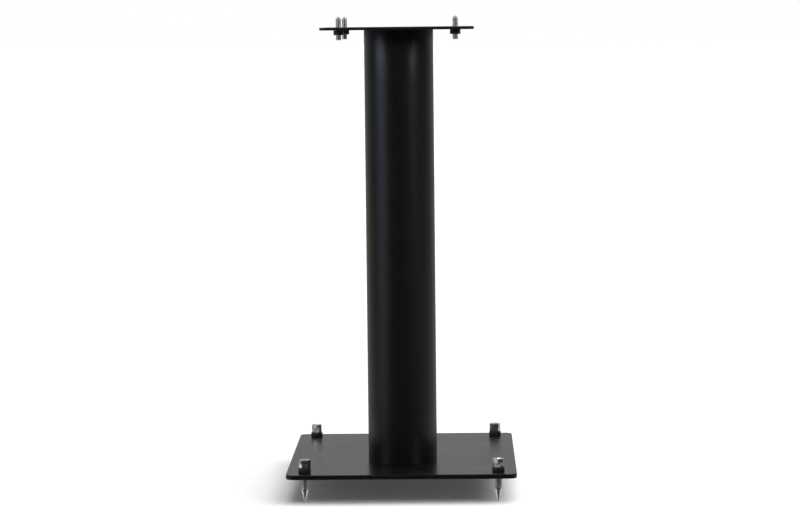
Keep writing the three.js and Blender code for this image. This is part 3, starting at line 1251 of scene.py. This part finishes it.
@dataclass
class Plate:
    """A flat steel plate with rounded corners and softened edges."""

    node: str
    workshop: Workshop
    holes: list[Hole]
    edge_radius: float = 0.7 * MM
    flat_border: float = 0.3 * MM
    corner_steps: int = 20
    edge_steps: int = 4
    roughness: float = 0.3
    dust: float = 0.1
    least_corner: float = HAIR

    def __post_init__(self) -> None:
        """Measure the plate."""
        self.frame = Measured(self.node)
        at_side = self.frame.high.x - HAIR / 5
        straight = max(p.y for p in self.frame.points() if p.x > at_side)
        self.corner_radius = self.frame.high.y - straight

    def outline(self, inset: float) -> list[tuple[float, float]]:
        """The plate's outline, moved inwards.

        Args:
            inset: How far it is moved, in metres.

        Returns:
            Its points about the plate's middle, anticlockwise.
        """
        half = self.frame.size / 2
        radius = self.corner_radius
        points = []
        for quarter, (sx, sy) in enumerate(((1, 1), (-1, 1), (-1, -1), (1, -1))):
            centre = (sx * (half.x - radius), sy * (half.y - radius))
            start = quarter * 90.0
            turn = max(radius - inset, self.least_corner)
            points += arc(centre, turn, start, start + 90.0, self.corner_steps)
        return points

    def sections(self) -> list[tuple[float, float]]:
        """Say where the outlines lie, from the bottom's flat border up to the top's.

        Returns:
            Each outline's inset and level.
        """
        tall, edge = self.frame.size.z, self.edge_radius
        lower = [(edge - x, z) for x, z in arc((0.0, edge), edge, -90.0, 0.0, self.edge_steps)]
        upper = [(edge - x, z) for x, z in arc((0.0, tall - edge), edge, 0.0, 90.0, self.edge_steps)]
        border = edge + self.flat_border
        return [(border, 0.0), *lower, *upper, (border, tall)]

    def blank(self) -> bpy.types.Object:
        """The plate before its holes.

        Returns:
            The piece.
        """
        shape = bmesh.new()
        place = Vector((self.frame.middle.x, self.frame.middle.y, self.frame.low.z))
        rings = []
        for inset, level in self.sections():
            rings.append([shape.verts.new(place + Vector((x, y, level))) for x, y in self.outline(inset)])
        for lower, upper in zip(rings, rings[1:]):
            for i, corner in enumerate(lower):
                j = (i + 1) % len(lower)
                shape.faces.new((corner, lower[j], upper[j], upper[i]))
        shape.faces.new(list(reversed(rings[0])))
        shape.faces.new(rings[-1])
        mesh = bpy.data.meshes.new(self.node)
        shape.to_mesh(mesh)
        shape.free()
        return new_object(f"{self.node}_steel", mesh)

    def build(self) -> bpy.types.Object:
        """Build the plate, cut its holes and hang it on the frame.

        Returns:
            The piece.
        """
        bottom, top = self.frame.low.z, self.frame.high.z
        made = cut(self.blank(), [hole.cutter(bottom, top) for hole in self.holes])
        dress(made, self.finish().material())
        return self.workshop.settle(made, "stand", Slot.SATIN_BLACK, self.node)

    def finish(self) -> PowderCoat:
        """The plate's coat, rubbed along its rim.

        Returns:
            The finish.
        """
        return PowderCoat(
            name=f"{self.node}_coat",
            effects=self.workshop.effects,
            centre=self.frame.middle,
            roughness=self.roughness,
            dust=self.dust,
            half_width=self.frame.size.x / 2,
            half_depth=self.frame.size.y / 2,
        )


@dataclass
class Column:
    """The round tube between the plates."""

    workshop: Workshop
    node: str = "column_tube"
    segments: int = 192
    edge_radius: float = 0.5 * MM
    edge_steps: int = 3
    rows: int = 8
    roughness: float = 0.36

    def build(self) -> bpy.types.Object:
        """Turn the tube about its axis and hang it on the frame.

        Returns:
            The piece.
        """
        tube = Measured(self.node)
        axis, height = tube.middle, tube.size.z
        outer, bore = tube.size.x / 2, min(tube.radii(axis))
        edge = self.edge_radius
        bottom_out = arc((outer - edge, edge), edge, -90.0, 0.0, self.edge_steps)
        top_out = arc((outer - edge, height - edge), edge, 0.0, 90.0, self.edge_steps)
        side = [(outer, edge + (height - 2 * edge) * i / self.rows) for i in range(1, self.rows)]
        inner = [(bore, height), (bore, 0.0)]
        mesh = turned_mesh(self.node, [*bottom_out, *side, *top_out, *inner], self.segments)
        mesh.transform(Matrix.Translation((axis.x, axis.y, tube.low.z)))
        made = new_object("column_steel", mesh)
        coat = PowderCoat("column_coat", self.workshop.effects, axis, roughness=self.roughness, dust=0.0)
        dress(made, coat.material())
        return self.workshop.settle(made, "stand", Slot.SATIN_BLACK, self.node)


@dataclass
class EndDisc:
    """A disc inside one end of the column, which keeps its shape from the frame."""

    node: str
    workshop: Workshop

    def build(self) -> bpy.types.Object:
        """Dress the disc.

        Returns:
            The disc.
        """
        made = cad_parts[self.node]
        finish = TurnedSteel(f"{self.node}_steel", self.workshop.effects, Measured(self.node).middle)
        made.data.materials.clear()
        made.data.materials.append(finish.material())
        LOG.info("%s: dressed as turned steel", self.node)
        return made


class RingTree:
    """A Geometry Nodes tree that sets copies of a shape out in a ring, each turned its own way."""

    TURN_APART = 1.9

    def __init__(self) -> None:
        """Build the tree."""
        ports = [
            Port("Screw", kind=Kind.SHAPE),
            Port("Count", kind=Kind.WHOLE),
            Port("Ring Radius"),
            Port("First Angle"),
            Port("Centre", kind=Kind.VECTOR),
            COAT,
        ]
        self.tree, w, given, result = new_group(
            "ring_of_screws", TreeKind.GEOMETRY, ports, [Port("Ring", kind=Kind.SHAPE)]
        )
        line = w.node("GeometryNodeMeshLine", mode="OFFSET")
        w.feed(line.inputs["Count"], given["Count"])
        w.feed(line.inputs["Offset"], (0.0, 0.0, 0.0))
        number = w.node("GeometryNodeInputIndex").outputs[0]
        share = w.math("DIVIDE", number, given["Count"])
        angle = w.math("MULTIPLY_ADD", share, 2 * math.pi, given["First Angle"])
        x = w.math("MULTIPLY", given["Ring Radius"], w.math("COSINE", angle))
        y = w.math("MULTIPLY", given["Ring Radius"], w.math("SINE", angle))
        placed = w.node("GeometryNodeSetPosition")
        w.feed(placed.inputs["Geometry"], line.outputs[0])
        w.feed(placed.inputs["Position"], w.join(x, y, 0.0))
        w.feed(placed.inputs["Offset"], given["Centre"])
        copies = w.node("GeometryNodeInstanceOnPoints")
        w.feed(copies.inputs["Points"], placed.outputs[0])
        w.feed(copies.inputs["Instance"], given["Screw"])
        w.feed(copies.inputs["Rotation"], w.join(0.0, 0.0, w.math("MULTIPLY", number, self.TURN_APART)))
        close_tree(w, copies.outputs[0], given["Material"], result["Ring"])


@dataclass(frozen=True)
class ScrewSize:
    """A countersunk screw's standard sizes."""

    radius: float
    pitch: float
    key_flats: float
    key_depth: float


M5 = ScrewSize(2.5 * MM, 0.8 * MM, 3.0 * MM, 1.8 * MM)
M6 = ScrewSize(3.0 * MM, 1.0 * MM, 4.0 * MM, 2.4 * MM)


@dataclass
class PlateScrews:
    """The countersunk screws of one plate, set out in a ring."""

    name: str
    workshop: Workshop
    ring: RingTree
    size: ScrewSize
    upward: bool
    count: int = 4
    sides: int = 48
    rim: float = 0.3 * MM
    run_out: float = 0.5 * MM
    head_break: float = 0.1 * MM
    groove_share: float = 0.61
    start_share: float = 0.7

    def nodes(self) -> list[str]:
        """The CAD nodes of the screws."""
        return [f"{self.name}_{i + 1}" for i in range(self.count)]

    def screw(self) -> bpy.types.Object:
        """One screw, head up, with its head's face at z = 0.

        Returns:
            The piece.
        """
        box = Measured(self.nodes()[0])
        axis, length = box.middle, box.size.z
        end = (0.0, 0.1) if self.upward else (0.9, 1.0)
        head, shank, pitch = box.size.x / 2, max(box.radii(axis, *end)), self.size.pitch
        start = self.start_share * pitch
        values = {
            "Radius": shank,
            "Pitch": pitch,
            "Groove Depth": self.groove_share * pitch,
            "Bottom": -length,
            "Top": 0.0,
            "Thread Bottom": -2 * length,
            "Thread Top": -(self.rim + head - shank) - self.run_out,
            "Bottom Rim": shank - start,
            "Bottom Taper": head - shank + start,
            "Top Rim": head - self.head_break,
            "Top Taper": self.head_break,
            "Head Radius": head,
            "Head Level": -self.rim,
            "Sides": self.sides,
            "Rows In Turn": THREAD_ROWS,
        }
        made = grown(self.name, self.workshop.bar.tree, values)
        return cut(made, [hex_prism(self.size.key_flats, -self.size.key_depth, 1 * MM)])

    def build(self) -> bpy.types.Object:
        """Set the screws out and hang them on the frame.

        Returns:
            The piece.
        """
        boxes = [Measured(n) for n in self.nodes()]
        centre = sum((b.middle for b in boxes), Vector()) / self.count
        first = boxes[0].middle - centre
        screw = self.screw()
        if not self.upward:
            screw.data.transform(Matrix.Rotation(math.pi, 4, "X"))
        centre.z = boxes[0].high.z if self.upward else boxes[0].low.z
        material = BlackOxide(f"{self.name}_oxide", self.workshop.effects, centre).material()
        values = {
            "Count": self.count,
            "Ring Radius": first.xy.length,
            "First Angle": math.atan2(first.y, first.x),
            "Centre": centre,
            "Material": material,
        }
        made = worked(screw, self.ring.tree, values)
        made.name = f"{self.name}s"
        dress(made, material)
        return self.workshop.settle(made, "stand", Slot.BLACK_OXIDE, *self.nodes())


@dataclass
class LockNut:
    """A blackened hexagon nut with both faces turned off at its corners."""

    node: str
    body: str
    axis: Vector
    workshop: Workshop
    bore_break: float = 0.45 * MM
    edge_width: float = 0.08 * MM
    edge_steps: int = 2

    def build(self) -> bpy.types.Object:
        """Build the nut and hang it on its body.

        Returns:
            The piece.
        """
        box = Measured(self.node)
        material = BlackOxide(f"{self.node}_oxide", self.workshop.effects, self.axis).material()
        radii = box.radii(self.axis)
        values = {
            "Across Flats": 2 * max(radii) * math.cos(HALF_HEX_ANGLE),
            "Bottom": box.low.z,
            "Top": box.high.z,
            "Chamfer Bottom": True,
            "Bore Radius": min(radii),
            "Bore Break": self.bore_break,
            "Turn": box.turn(self.axis),
            "Material": material,
        }
        made = grown(f"{self.node}_steel", self.workshop.hexagon.tree, values)
        rounded(made, self.edge_width, self.edge_steps)
        dress(made, material)
        made.data.transform(Matrix.Translation(self.axis))
        return self.workshop.settle(made, self.body, Slot.BLACK_OXIDE, self.node)


@dataclass
class FloorSpike:
    """One levelling spike and the nut that locks it."""

    corner: Corner
    workshop: Workshop
    pitch: float = 1.25 * MM
    groove_depth: float = 0.5 * MM
    key_flats: float = 5.0 * MM
    key_depth: float = 4.0 * MM
    thread_below_plate: float = 13.0 * MM
    thread_in_head: float = 4.0 * MM
    lap_in_head: float = 1.0 * MM
    edge_width: float = 0.08 * MM
    edge_steps: int = 2
    sides: int = 40

    def __post_init__(self) -> None:
        """Measure the spike and its nut."""
        self.spike = Measured(f"floor_spike_{self.corner.value}")
        self.nut = Measured(f"spike_lock_nut_{self.corner.value}")
        self.axis = Vector((self.nut.middle.x, self.nut.middle.y, 0.0))
        self.shank_radius = max(self.spike.radii(self.axis, 0.25, 0.5))
        self.tip_radius = max(self.spike.radii(self.axis, 0.0, 0.01))
        full = self.shank_radius - HAIR
        self.point_length = min(p.z for p in self.spike.points() if (p - self.axis).xy.length > full)
        self.point_length -= self.spike.low.z
        self.head_bottom = self.nut.high.z + (self.nut.low.z - Measured("base_plate").high.z)

    def shank(self) -> bpy.types.Object:
        """The threaded bar with its long point.

        Returns:
            The piece.
        """
        plate_bottom = Measured("base_plate").low.z
        values = {
            "Radius": self.shank_radius,
            "Pitch": self.pitch,
            "Groove Depth": self.groove_depth,
            "Bottom": self.spike.low.z,
            "Top": self.head_bottom + self.lap_in_head,
            "Thread Bottom": plate_bottom - self.thread_below_plate,
            "Thread Top": self.head_bottom + self.thread_in_head,
            "Bottom Rim": self.tip_radius,
            "Bottom Taper": self.point_length,
            "Top Rim": self.shank_radius,
            "Top Taper": self.lap_in_head,
            "Sides": self.sides,
            "Rows In Turn": THREAD_ROWS,
        }
        return grown(f"floor_spike_steel_{self.corner.value}", self.workshop.bar.tree, values)

    def head(self) -> bpy.types.Object:
        """The hexagon head with its key socket.

        Returns:
            The piece.
        """
        values = {
            "Across Flats": 2 * max(self.spike.radii(self.axis)) * math.cos(HALF_HEX_ANGLE),
            "Bottom": self.head_bottom,
            "Top": self.spike.high.z,
            "Chamfer Bottom": False,
            "Key Flats": self.key_flats,
            "Key Depth": self.key_depth,
            "Turn": self.spike.turn(self.axis),
        }
        head = grown("spike_head", self.workshop.hexagon.tree, values)
        return rounded(head, self.edge_width, self.edge_steps)

    def build(self) -> list[bpy.types.Object]:
        """Build the spike and its nut, and hang each on its body.

        Returns:
            The spike and the nut.
        """
        spike = combined(self.shank(), self.head(), Joining.UNION)
        plating = Plating(f"spike_plating_{self.corner.value}", self.workshop.effects, self.axis)
        dress(spike, plating.material())
        spike.data.transform(Matrix.Translation(self.axis))
        self.workshop.settle(spike, f"spike_{self.corner.value}", Slot.BRIGHT_PLATING, self.spike.node)
        nut = LockNut(self.nut.node, f"spike_nut_{self.corner.value}", self.axis, self.workshop)
        return [spike, nut.build()]


@dataclass
class SpeakerStud:
    """One cone-point stud that the loudspeaker rests on, and the nut that locks it."""

    corner: Corner
    workshop: Workshop
    pitch: float = 1.0 * MM
    groove_depth: float = 0.4 * MM
    key_flats: float = 3.0 * MM
    key_depth: float = 3.5 * MM
    key_slack: float = 0.1 * MM
    end_chamfer: float = 0.6 * MM
    sides: int = 36

    def __post_init__(self) -> None:
        """Measure the stud and its nut."""
        self.stud = Measured(f"speaker_stud_{self.corner.value}")
        self.nut = Measured(f"stud_lock_nut_{self.corner.value}")
        self.axis = Vector((self.stud.middle.x, self.stud.middle.y, 0.0))
        self.radius = self.stud.size.x / 2
        self.tip_radius = max(self.stud.radii(self.axis, 0.999, 1.0))
        full = self.radius - HAIR
        rim = max(p.z for p in self.stud.points() if (p - self.axis).xy.length > full)
        self.point_length = self.stud.high.z - rim

    def bar(self) -> bpy.types.Object:
        """The threaded stud with its cone point.

        Returns:
            The piece.
        """
        values = {
            "Radius": self.radius,
            "Pitch": self.pitch,
            "Groove Depth": self.groove_depth,
            "Bottom": self.stud.low.z,
            "Top": self.stud.high.z,
            "Thread Bottom": self.stud.low.z - 2 * self.pitch,
            "Thread Top": self.stud.high.z + 2 * self.pitch,
            "Bottom Rim": self.radius - self.end_chamfer,
            "Bottom Taper": self.end_chamfer,
            "Top Rim": self.tip_radius,
            "Top Taper": self.point_length,
            "Sides": self.sides,
            "Rows In Turn": THREAD_ROWS,
        }
        made = grown(f"speaker_stud_steel_{self.corner.value}", self.workshop.bar.tree, values)
        low = self.stud.low.z
        turn = self.stud.turn(self.axis, self.key_flats / math.sqrt(3) + self.key_slack)
        return cut(made, [hex_prism(self.key_flats, low - 1 * MM, low + self.key_depth, turn)])

    def build(self) -> list[bpy.types.Object]:
        """Build the stud and its nut, and hang each on its body.

        Returns:
            The stud and the nut.
        """
        stud = self.bar()
        plating = Plating(f"stud_plating_{self.corner.value}", self.workshop.effects, self.axis)
        dress(stud, plating.material())
        stud.data.transform(Matrix.Translation(self.axis))
        self.workshop.settle(stud, f"stud_{self.corner.value}", Slot.BRIGHT_PLATING, self.stud.node)
        nut = LockNut(self.nut.node, f"stud_nut_{self.corner.value}", self.axis, self.workshop)
        return [stud, nut.build()]


# ---------------------------------------------------------------------------------------------------------
# The whole stand
# ---------------------------------------------------------------------------------------------------------


@dataclass
class Stand:
    """The stand: two plates, the column between them and the threaded fittings."""

    workshop: Workshop = field(default_factory=Workshop)
    hole_clearance: float = 0.2 * MM
    screw_clearance: float = 0.3 * MM
    screw_recess: float = 0.5 * MM
    spike_hole_break: float = 0.4 * MM
    stud_hole_break: float = 0.3 * MM

    def fitting_holes(self, kind: str, size: float, edge: float) -> list[Hole]:
        """The holes that spikes or studs stand in.

        Args:
            kind: The start of the fittings' node names.
            size: The thread's radius.
            edge: How far the mouths are broken.

        Returns:
            One hole for each corner.
        """
        boxes = [Measured(f"{kind}_{corner.value}") for corner in Corner]
        return [Hole(box.middle, size + self.hole_clearance, edge, edge) for box in boxes]

    def screw_holes(self, screws: PlateScrews) -> list[Hole]:
        """The countersunk holes of one plate's screws.

        Args:
            screws: The screws.

        Returns:
            One hole for each screw.
        """
        neck = screws.size.radius + self.screw_clearance
        holes = []
        for node in screws.nodes():
            box = Measured(node)
            cone = box.size.x / 2 - screws.size.radius
            if screws.upward:
                holes.append(Hole(box.middle, neck, cone, 0.0, top_rim=self.screw_recess))
            else:
                holes.append(Hole(box.middle, neck, 0.0, cone, bottom_rim=self.screw_recess))
        return holes

    def build(self) -> None:
        """Build every sub-assembly."""
        spikes = [FloorSpike(corner, self.workshop) for corner in Corner]
        studs = [SpeakerStud(corner, self.workshop) for corner in Corner]
        ring = RingTree()
        lower = PlateScrews("base_screw", self.workshop, ring, M6, upward=False)
        upper = PlateScrews("top_screw", self.workshop, ring, M5, upward=True)
        base_holes = self.fitting_holes("spike_lock_nut", spikes[0].shank_radius, self.spike_hole_break)
        top_holes = self.fitting_holes("stud_lock_nut", studs[0].radius, self.stud_hole_break)
        base_holes += self.screw_holes(lower)
        top_holes += self.screw_holes(upper)
        Plate("base_plate", self.workshop, base_holes, roughness=0.27, dust=0.06).build()
        Plate("top_plate", self.workshop, top_holes, roughness=0.34, dust=0.04).build()
        Column(self.workshop).build()
        for disc in ("lower_end_disc", "upper_end_disc"):
            EndDisc(disc, self.workshop).build()
        for part in (lower, upper, *spikes, *studs):
            part.build()


# ---------------------------------------------------------------------------------------------------------
# Floor, light and camera
# ---------------------------------------------------------------------------------------------------------


@dataclass(frozen=True)
class Strip:
    """One upright light card, which shows only as a soft highlight on the steel.

    Its bearing is measured from the front, in degrees, and rises to the right.
    """

    name: str
    bearing: float
    lift: float
    distance: float
    width: float
    height: float
    power: float
    colour: Colour = (1.0, 1.0, 1.0)

    def build(self, target: Vector) -> bpy.types.Object:
        """Hang the lamp.

        Args:
            target: The point that it faces.

        Returns:
            The lamp.
        """
        lamp = bpy.data.lights.new(self.name, "AREA")
        lamp.shape = "RECTANGLE"
        lamp.size, lamp.size_y = self.width, self.height
        lamp.energy = self.power
        lamp.color = self.colour
        made = bpy.data.objects.new(self.name, lamp)
        bpy.context.scene.collection.objects.link(made)
        bearing = math.radians(self.bearing)
        away = self.distance * Vector((math.sin(bearing), -math.cos(bearing), 0.0))
        made.location = target + away + Vector((0.0, 0.0, self.lift))
        made.rotation_mode = "QUATERNION"
        made.rotation_quaternion = (-away).to_track_quat("-Z", "Y")
        made.visible_camera = False
        made.visible_diffuse = False
        return made


SKY: Colour = (0.68, 0.8, 1.0)
CARDS = (
    Strip("left_card", -60.0, lift=0.0, distance=2.0, width=1.2, height=1.0, power=2.1, colour=SKY),
    Strip("upper_left_card", -61.0, lift=0.85, distance=2.0, width=1.0, height=0.9, power=9.5, colour=SKY),
    Strip("right_card", 48.0, lift=0.95, distance=2.2, width=0.5, height=0.9, power=7.5),
)


@dataclass(frozen=True)
class Viewpoint:
    """The camera: level with the top plate and looking slightly down. Its angles are in radians."""

    place: tuple[float, float, float] = (0.06444, -3.06470, 0.51960)
    yaw: float = -0.02167
    pitch: float = 0.08693
    roll: float = -0.01056
    lens: float = 123.05
    sensor: float = 36.0
    nearest: float = 0.05
    furthest: float = 200.0

    def build(self) -> bpy.types.Object:
        """Set the camera up.

        Returns:
            The camera.
        """
        forwards, downwards = math.cos(self.pitch), -math.sin(self.pitch)
        ahead = Vector((math.sin(self.yaw) * forwards, math.cos(self.yaw) * forwards, downwards))
        level = Vector((math.cos(self.yaw), -math.sin(self.yaw), 0.0))
        upright = level.cross(ahead)
        across = math.cos(self.roll) * level + math.sin(self.roll) * upright
        above = across.cross(ahead)
        lens = bpy.data.cameras.new("camera")
        lens.lens, lens.sensor_width = self.lens, self.sensor
        lens.clip_start, lens.clip_end = self.nearest, self.furthest
        made = bpy.data.objects.new("camera", lens)
        bpy.context.scene.collection.objects.link(made)
        turn = Matrix((across, above, -ahead)).transposed()
        made.matrix_world = Matrix.Translation(self.place) @ turn.to_4x4()
        bpy.context.scene.camera = made
        return made


@dataclass
class Studio:
    """A white sweep in a soft dome, with upright cards beside the camera.

    What glossy surfaces mirror is set by direction: each level is a glow, and each band says between which
    parts of a unit direction one glow passes into the next.
    """

    subject: Vector = field(default_factory=lambda: Vector((0.0, -0.05, 0.26)))
    floor_half: float = 60.0
    floor_colour: Colour = (0.86, 0.865, 0.875)
    floor_roughness: float = 0.9
    key: float = 3.4
    key_spread: float = 75.0
    key_direction: tuple[float, float, float] = (-0.38, 0.3, -1.0)
    dome: float = 0.35
    horizon: float = 2.6
    dome_tilt: float = 0.12
    glossy_tint: Colour = (1.0, 0.985, 0.955)
    back_glow: float = 0.47
    front_glow: float = 0.015
    above_glow: float = 0.5
    front_raised: float = 0.27
    front_floor: float = 0.06
    side_floor: float = 0.5
    rear_floor: float = 0.15
    flank_floor: float = 0.9

    HORIZON_BAND: ClassVar[Band] = (0.02, 0.3)
    BACK_BAND: ClassVar[Band] = (0.1, 0.85)
    RAISED_BAND: ClassVar[Band] = (0.1, 0.22)
    ABOVE_BAND: ClassVar[Band] = (0.45, 0.9)
    FLOOR_BAND: ClassVar[Band] = (0.11, 0.22)
    FRONT_FLOOR_BAND: ClassVar[Band] = (-0.75, -0.1)
    FLANK_BAND: ClassVar[Band] = (0.3, 0.95)
    STEEP_BAND: ClassVar[Band] = (0.18, 0.25)
    REAR_BAND: ClassVar[Band] = (-0.2, 0.4)

    def soft_dome(self, w: Wiring, x: object, z: object) -> bpy.types.NodeSocket:
        """The light that falls on matt surfaces: even overhead, stronger near the horizon.

        Args:
            w: The world's wiring.
            x: The direction's part to the right.
            z: The direction's part upwards.

        Returns:
            The level's socket.
        """
        low = w.math("SUBTRACT", 1.0, w.span(z, *self.HORIZON_BAND))
        level = w.blend(low, self.dome, self.horizon)
        return w.math("MULTIPLY", level, w.math("MULTIPLY_ADD", x, self.dome_tilt, 1.0))

    def reflected(self, w: Wiring, x: object, y: object, z: object) -> bpy.types.NodeSocket:
        """What glossy surfaces mirror: a pale wall behind, a dark room in front, a lit ceiling and a floor.

        Args:
            w: The world's wiring.
            x: The direction's part to the right.
            y: The direction's part backwards.
            z: The direction's part upwards.

        Returns:
            The level's socket.
        """
        down = w.math("MULTIPLY", z, -1.0)
        backwards = w.span(y, *self.BACK_BAND)
        low = w.blend(backwards, self.front_glow, self.back_glow)
        raised = w.blend(backwards, self.front_raised, self.back_glow)
        level = w.blend(w.span(z, *self.RAISED_BAND), low, raised)
        level = w.blend(w.span(z, *self.ABOVE_BAND), level, self.above_glow)
        ground = w.blend(w.span(y, *self.FRONT_FLOOR_BAND), self.front_floor, self.side_floor)
        flank = w.span(w.math("ABSOLUTE", x), *self.FLANK_BAND)
        rear = w.blend(flank, self.rear_floor, self.flank_floor)
        steep = w.math("MULTIPLY", w.span(down, *self.STEEP_BAND), w.span(y, *self.REAR_BAND))
        ground = w.blend(steep, ground, rear)
        return w.blend(w.span(down, *self.FLOOR_BAND), level, ground)

    def world(self) -> bpy.types.World:
        """Build the surround.

        Returns:
            The world.
        """
        world = bpy.data.worlds.new("surround")
        world.use_nodes = True
        bpy.context.scene.world = world
        world.node_tree.nodes.clear()
        w = Wiring(world.node_tree)
        x, y, z = w.split(w.node("ShaderNodeTexCoord").outputs["Generated"])
        ray = w.node("ShaderNodeLightPath").outputs
        level = w.blend(ray["Is Diffuse Ray"], self.reflected(w, x, y, z), self.soft_dome(w, x, z))
        level = w.blend(ray["Is Camera Ray"], level, 1.0)
        light = w.node("ShaderNodeBackground")
        w.feed(light.inputs["Color"], w.tint(ray["Is Glossy Ray"], (1.0, 1.0, 1.0), self.glossy_tint))
        w.feed(light.inputs["Strength"], level)
        w.feed(w.node("ShaderNodeOutputWorld").inputs["Surface"], light.outputs[0])
        return world

    def floor(self) -> bpy.types.Object:
        """A plain white floor, which no reflection shows.

        Returns:
            The floor.
        """
        half = self.floor_half
        mesh = bpy.data.meshes.new("floor")
        corners = [(-half, -half, 0.0), (half, -half, 0.0), (half, half, 0.0), (-half, half, 0.0)]
        mesh.from_pydata(corners, [], [(0, 1, 2, 3)])
        made = new_object("floor", mesh)
        material = bpy.data.materials.new("white_floor")
        material.use_nodes = True
        shader = material.node_tree.nodes["Principled BSDF"]
        shader.inputs["Base Color"].default_value = (*self.floor_colour, 1.0)
        shader.inputs["Roughness"].default_value = self.floor_roughness
        shader.inputs["Specular IOR Level"].default_value = 0.0
        mesh.materials.append(material)
        made.visible_glossy = False
        return made

    def key_light(self) -> bpy.types.Object:
        """A broad light from the upper right, which no reflection shows.

        Returns:
            The lamp.
        """
        lamp = bpy.data.lights.new("key", "SUN")
        lamp.energy = self.key
        lamp.angle = math.radians(self.key_spread)
        made = bpy.data.objects.new("key", lamp)
        bpy.context.scene.collection.objects.link(made)
        made.rotation_mode = "QUATERNION"
        made.rotation_quaternion = Vector(self.key_direction).to_track_quat("-Z", "Y")
        made.visible_glossy = False
        return made

    def build(self) -> None:
        """Set the studio up."""
        settings = bpy.context.scene.view_settings
        settings.view_transform, settings.look = "Standard", "None"
        self.world()
        self.floor()
        self.key_light()
        for card in CARDS:
            card.build(self.subject)
        Viewpoint().build()


def main() -> None:
    """Build the stand and its studio."""
    logging.basicConfig(level=logging.INFO, format="%(name)s: %(message)s")
    Stand().build()
    Studio().build()


if __name__ == "__main__":
    main()
